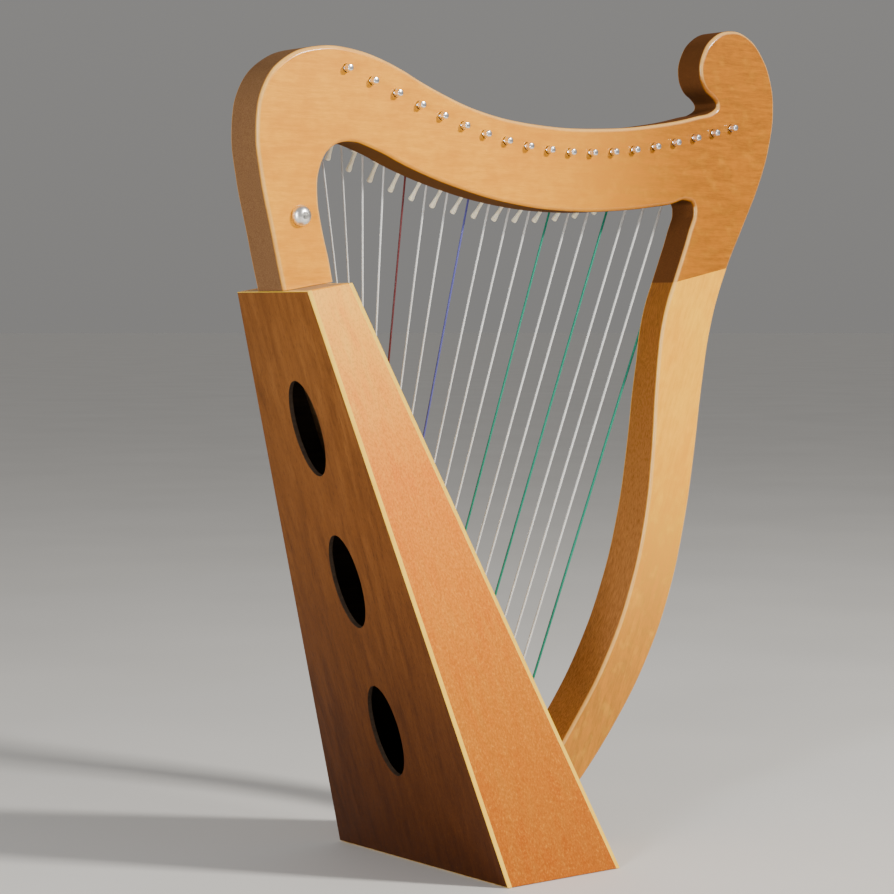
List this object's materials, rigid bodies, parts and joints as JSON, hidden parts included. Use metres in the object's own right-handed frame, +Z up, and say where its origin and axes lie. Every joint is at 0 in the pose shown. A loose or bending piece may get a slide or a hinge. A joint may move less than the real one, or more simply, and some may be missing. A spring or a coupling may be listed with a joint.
{
  "type": "lap harp",
  "caption": "Small lever harp: tapered wooden soundbox, curved neck and pillar, nylon strings, turning tuning pins and flip-up sharping levers.",
  "frame": {"origin": "centre of the bounding box on the floor plane", "axes": "+X from the player's side of the soundbox towards the pillar, +Y to the player's left (string and lever side), +Z up"},
  "size_m": [0.4558, 0.186, 0.5729],
  "materials": {
    "neck_wood": "satin lacquered amber maple",
    "pillar_wood": "satin lacquered pale maple",
    "back_wood": "open-pored mahogany veneer, matt",
    "side_wood": "speckled tan veneer, satin",
    "soundboard_wood": "straight-grained spruce, satin",
    "inner_wood": "bare planed",
    "rib_wood": "oiled dark hardwood",
    "string_nylon": "drawn nylon, some strings dyed",
    "pin_chrome": "plated and polished",
    "bolt_chrome": "plated and polished",
    "bracket_metal": "nickel plated",
    "zinc_steel": "zinc plated",
    "lever_plastic": "moulded cream plastic"
  },
  "bodies": {
    "harp_frame": {"back_panel": "back_wood", "base_board": "inner_wood", "brace_lower": "inner_wood", "brace_upper": "inner_wood", "joint_dowel": "inner_wood", "lever_brackets": "bracket_metal", "lining_left": "inner_wood", "lining_right": "inner_wood", "neck": "neck_wood", "neck_bolt": "bolt_chrome", "neck_bolt_nut": "bolt_chrome", "pillar": "pillar_wood", "pillar_bolt": "zinc_steel", "pillar_bolt_washer": "zinc_steel", "pillar_foot_block": "inner_wood", "side_panel_left": "side_wood", "side_panel_right": "side_wood", "soundboard": "soundboard_wood", "string_rib": "rib_wood", "string_set": "string_nylon", "top_block": "inner_wood"},
    "tuning_pin_01": {"tuning_pin_01": "pin_chrome"},
    "tuning_pin_02": {"tuning_pin_02": "pin_chrome"},
    "tuning_pin_03": {"tuning_pin_03": "pin_chrome"},
    "tuning_pin_04": {"tuning_pin_04": "pin_chrome"},
    "tuning_pin_05": {"tuning_pin_05": "pin_chrome"},
    "tuning_pin_06": {"tuning_pin_06": "pin_chrome"},
    "tuning_pin_07": {"tuning_pin_07": "pin_chrome"},
    "tuning_pin_08": {"tuning_pin_08": "pin_chrome"},
    "tuning_pin_09": {"tuning_pin_09": "pin_chrome"},
    "tuning_pin_10": {"tuning_pin_10": "pin_chrome"},
    "tuning_pin_11": {"tuning_pin_11": "pin_chrome"},
    "tuning_pin_12": {"tuning_pin_12": "pin_chrome"},
    "tuning_pin_13": {"tuning_pin_13": "pin_chrome"},
    "tuning_pin_14": {"tuning_pin_14": "pin_chrome"},
    "tuning_pin_15": {"tuning_pin_15": "pin_chrome"},
    "tuning_pin_16": {"tuning_pin_16": "pin_chrome"},
    "tuning_pin_17": {"tuning_pin_17": "pin_chrome"},
    "tuning_pin_18": {"tuning_pin_18": "pin_chrome"},
    "tuning_pin_19": {"tuning_pin_19": "pin_chrome"},
    "sharping_lever_01": {"sharping_lever_01": "lever_plastic"},
    "sharping_lever_02": {"sharping_lever_02": "lever_plastic"},
    "sharping_lever_03": {"sharping_lever_03": "lever_plastic"},
    "sharping_lever_04": {"sharping_lever_04": "lever_plastic"},
    "sharping_lever_05": {"sharping_lever_05": "lever_plastic"},
    "sharping_lever_06": {"sharping_lever_06": "lever_plastic"},
    "sharping_lever_07": {"sharping_lever_07": "lever_plastic"},
    "sharping_lever_08": {"sharping_lever_08": "lever_plastic"},
    "sharping_lever_09": {"sharping_lever_09": "lever_plastic"},
    "sharping_lever_10": {"sharping_lever_10": "lever_plastic"},
    "sharping_lever_11": {"sharping_lever_11": "lever_plastic"},
    "sharping_lever_12": {"sharping_lever_12": "lever_plastic"},
    "sharping_lever_13": {"sharping_lever_13": "lever_plastic"},
    "sharping_lever_14": {"sharping_lever_14": "lever_plastic"},
    "sharping_lever_15": {"sharping_lever_15": "lever_plastic"},
    "sharping_lever_16": {"sharping_lever_16": "lever_plastic"},
    "sharping_lever_17": {"sharping_lever_17": "lever_plastic"},
    "sharping_lever_18": {"sharping_lever_18": "lever_plastic"},
    "sharping_lever_19": {"sharping_lever_19": "lever_plastic"}
  },
  "joints": [
    {"name": "tuning_pin_01_turn", "type": "hinge", "parent": "harp_frame", "child": "tuning_pin_01", "pos_m": [-0.159, 0, 0.526], "axis": [0, 1, 0], "continuous": true},
    {"name": "tuning_pin_02_turn", "type": "hinge", "parent": "harp_frame", "child": "tuning_pin_02", "pos_m": [-0.13865, 0, 0.51903], "axis": [0, 1, 0], "continuous": true},
    {"name": "tuning_pin_03_turn", "type": "hinge", "parent": "harp_frame", "child": "tuning_pin_03", "pos_m": [-0.11918, 0, 0.51208], "axis": [0, 1, 0], "continuous": true},
    {"name": "tuning_pin_04_turn", "type": "hinge", "parent": "harp_frame", "child": "tuning_pin_04", "pos_m": [-0.10032, 0, 0.50539], "axis": [0, 1, 0], "continuous": true},
    {"name": "tuning_pin_05_turn", "type": "hinge", "parent": "harp_frame", "child": "tuning_pin_05", "pos_m": [-0.08184, 0, 0.49918], "axis": [0, 1, 0], "continuous": true},
    {"name": "tuning_pin_06_turn", "type": "hinge", "parent": "harp_frame", "child": "tuning_pin_06", "pos_m": [-0.06353, 0, 0.49362], "axis": [0, 1, 0], "continuous": true},
    {"name": "tuning_pin_07_turn", "type": "hinge", "parent": "harp_frame", "child": "tuning_pin_07", "pos_m": [-0.04523, 0, 0.48888], "axis": [0, 1, 0], "continuous": true},
    {"name": "tuning_pin_08_turn", "type": "hinge", "parent": "harp_frame", "child": "tuning_pin_08", "pos_m": [-0.02682, 0, 0.48505], "axis": [0, 1, 0], "continuous": true},
    {"name": "tuning_pin_09_turn", "type": "hinge", "parent": "harp_frame", "child": "tuning_pin_09", "pos_m": [-0.0082, 0, 0.48222], "axis": [0, 1, 0], "continuous": true},
    {"name": "tuning_pin_10_turn", "type": "hinge", "parent": "harp_frame", "child": "tuning_pin_10", "pos_m": [0.01069, 0, 0.48044], "axis": [0, 1, 0], "continuous": true},
    {"name": "tuning_pin_11_turn", "type": "hinge", "parent": "harp_frame", "child": "tuning_pin_11", "pos_m": [0.02986, 0, 0.47972], "axis": [0, 1, 0], "continuous": true},
    {"name": "tuning_pin_12_turn", "type": "hinge", "parent": "harp_frame", "child": "tuning_pin_12", "pos_m": [0.0493, 0, 0.48004], "axis": [0, 1, 0], "continuous": true},
    {"name": "tuning_pin_13_turn", "type": "hinge", "parent": "harp_frame", "child": "tuning_pin_13", "pos_m": [0.06895, 0, 0.48136], "axis": [0, 1, 0], "continuous": true},
    {"name": "tuning_pin_14_turn", "type": "hinge", "parent": "harp_frame", "child": "tuning_pin_14", "pos_m": [0.08873, 0, 0.48358], "axis": [0, 1, 0], "continuous": true},
    {"name": "tuning_pin_15_turn", "type": "hinge", "parent": "harp_frame", "child": "tuning_pin_15", "pos_m": [0.10852, 0, 0.48659], "axis": [0, 1, 0], "continuous": true},
    {"name": "tuning_pin_16_turn", "type": "hinge", "parent": "harp_frame", "child": "tuning_pin_16", "pos_m": [0.12816, 0, 0.49024], "axis": [0, 1, 0], "continuous": true},
    {"name": "tuning_pin_17_turn", "type": "hinge", "parent": "harp_frame", "child": "tuning_pin_17", "pos_m": [0.14744, 0, 0.49434], "axis": [0, 1, 0], "continuous": true},
    {"name": "tuning_pin_18_turn", "type": "hinge", "parent": "harp_frame", "child": "tuning_pin_18", "pos_m": [0.16614, 0, 0.49868], "axis": [0, 1, 0], "continuous": true},
    {"name": "tuning_pin_19_turn", "type": "hinge", "parent": "harp_frame", "child": "tuning_pin_19", "pos_m": [0.184, 0, 0.503], "axis": [0, 1, 0], "continuous": true},
    {"name": "sharping_lever_01_flip", "type": "hinge", "parent": "harp_frame", "child": "sharping_lever_01", "pos_m": [-0.15864, 0.0255, 0.49251], "axis": [0.999, 0, 0.0455], "range_deg": [0, 95]},
    {"name": "sharping_lever_02_flip", "type": "hinge", "parent": "harp_frame", "child": "sharping_lever_02", "pos_m": [-0.14086, 0.0255, 0.48553], "axis": [0.9997, 0, -0.0248], "range_deg": [0, 95]},
    {"name": "sharping_lever_03_flip", "type": "hinge", "parent": "harp_frame", "child": "sharping_lever_03", "pos_m": [-0.12297, 0.0255, 0.47863], "axis": [0.9962, 0, -0.0873], "range_deg": [0, 95]},
    {"name": "sharping_lever_04_flip", "type": "hinge", "parent": "harp_frame", "child": "sharping_lever_04", "pos_m": [-0.10497, 0.0255, 0.47204], "axis": [0.9898, 0, -0.1424], "range_deg": [0, 95]},
    {"name": "sharping_lever_05_flip", "type": "hinge", "parent": "harp_frame", "child": "sharping_lever_05", "pos_m": [-0.08686, 0.0255, 0.46594], "axis": [0.9817, 0, -0.1905], "range_deg": [0, 95]},
    {"name": "sharping_lever_06_flip", "type": "hinge", "parent": "harp_frame", "child": "sharping_lever_06", "pos_m": [-0.06866, 0.0255, 0.46052], "axis": [0.9727, 0, -0.2319], "range_deg": [0, 95]},
    {"name": "sharping_lever_07_flip", "type": "hinge", "parent": "harp_frame", "child": "sharping_lever_07", "pos_m": [-0.05038, 0.0255, 0.4559], "axis": [0.9636, 0, -0.2673], "range_deg": [0, 95]},
    {"name": "sharping_lever_08_flip", "type": "hinge", "parent": "harp_frame", "child": "sharping_lever_08", "pos_m": [-0.03201, 0.0255, 0.4522], "axis": [0.9548, 0, -0.2971], "range_deg": [0, 95]},
    {"name": "sharping_lever_09_flip", "type": "hinge", "parent": "harp_frame", "child": "sharping_lever_09", "pos_m": [-0.01357, 0.0255, 0.44949], "axis": [0.9468, 0, -0.3219], "range_deg": [0, 95]},
    {"name": "sharping_lever_10_flip", "type": "hinge", "parent": "harp_frame", "child": "sharping_lever_10", "pos_m": [0.00494, 0.0255, 0.44781], "axis": [0.9396, 0, -0.3423], "range_deg": [0, 95]},
    {"name": "sharping_lever_11_flip", "type": "hinge", "parent": "harp_frame", "child": "sharping_lever_11", "pos_m": [0.0235, 0.0255, 0.44718], "axis": [0.9334, 0, -0.3589], "range_deg": [0, 95]},
    {"name": "sharping_lever_12_flip", "type": "hinge", "parent": "harp_frame", "child": "sharping_lever_12", "pos_m": [0.0421, 0.0255, 0.44759], "axis": [0.9281, 0, -0.3723], "range_deg": [0, 95]},
    {"name": "sharping_lever_13_flip", "type": "hinge", "parent": "harp_frame", "child": "sharping_lever_13", "pos_m": [0.06075, 0.0255, 0.44896], "axis": [0.9238, 0, -0.383], "range_deg": [0, 95]},
    {"name": "sharping_lever_14_flip", "type": "hinge", "parent": "harp_frame", "child": "sharping_lever_14", "pos_m": [0.07942, 0.0255, 0.45124], "axis": [0.9202, 0, -0.3914], "range_deg": [0, 95]},
    {"name": "sharping_lever_15_flip", "type": "hinge", "parent": "harp_frame", "child": "sharping_lever_15", "pos_m": [0.09813, 0.0255, 0.45429], "axis": [0.9173, 0, -0.3981], "range_deg": [0, 95]},
    {"name": "sharping_lever_16_flip", "type": "hinge", "parent": "harp_frame", "child": "sharping_lever_16", "pos_m": [0.11685, 0.0255, 0.45797], "axis": [0.915, 0, -0.4035], "range_deg": [0, 95]},
    {"name": "sharping_lever_17_flip", "type": "hinge", "parent": "harp_frame", "child": "sharping_lever_17", "pos_m": [0.13559, 0.0255, 0.4621], "axis": [0.9131, 0, -0.4078], "range_deg": [0, 95]},
    {"name": "sharping_lever_18_flip", "type": "hinge", "parent": "harp_frame", "child": "sharping_lever_18", "pos_m": [0.15433, 0.0255, 0.46646], "axis": [0.9114, 0, -0.4115], "range_deg": [0, 95]},
    {"name": "sharping_lever_19_flip", "type": "hinge", "parent": "harp_frame", "child": "sharping_lever_19", "pos_m": [0.17308, 0.0255, 0.47081], "axis": [0.9099, 0, -0.4149], "range_deg": [0, 95]}
  ]
}
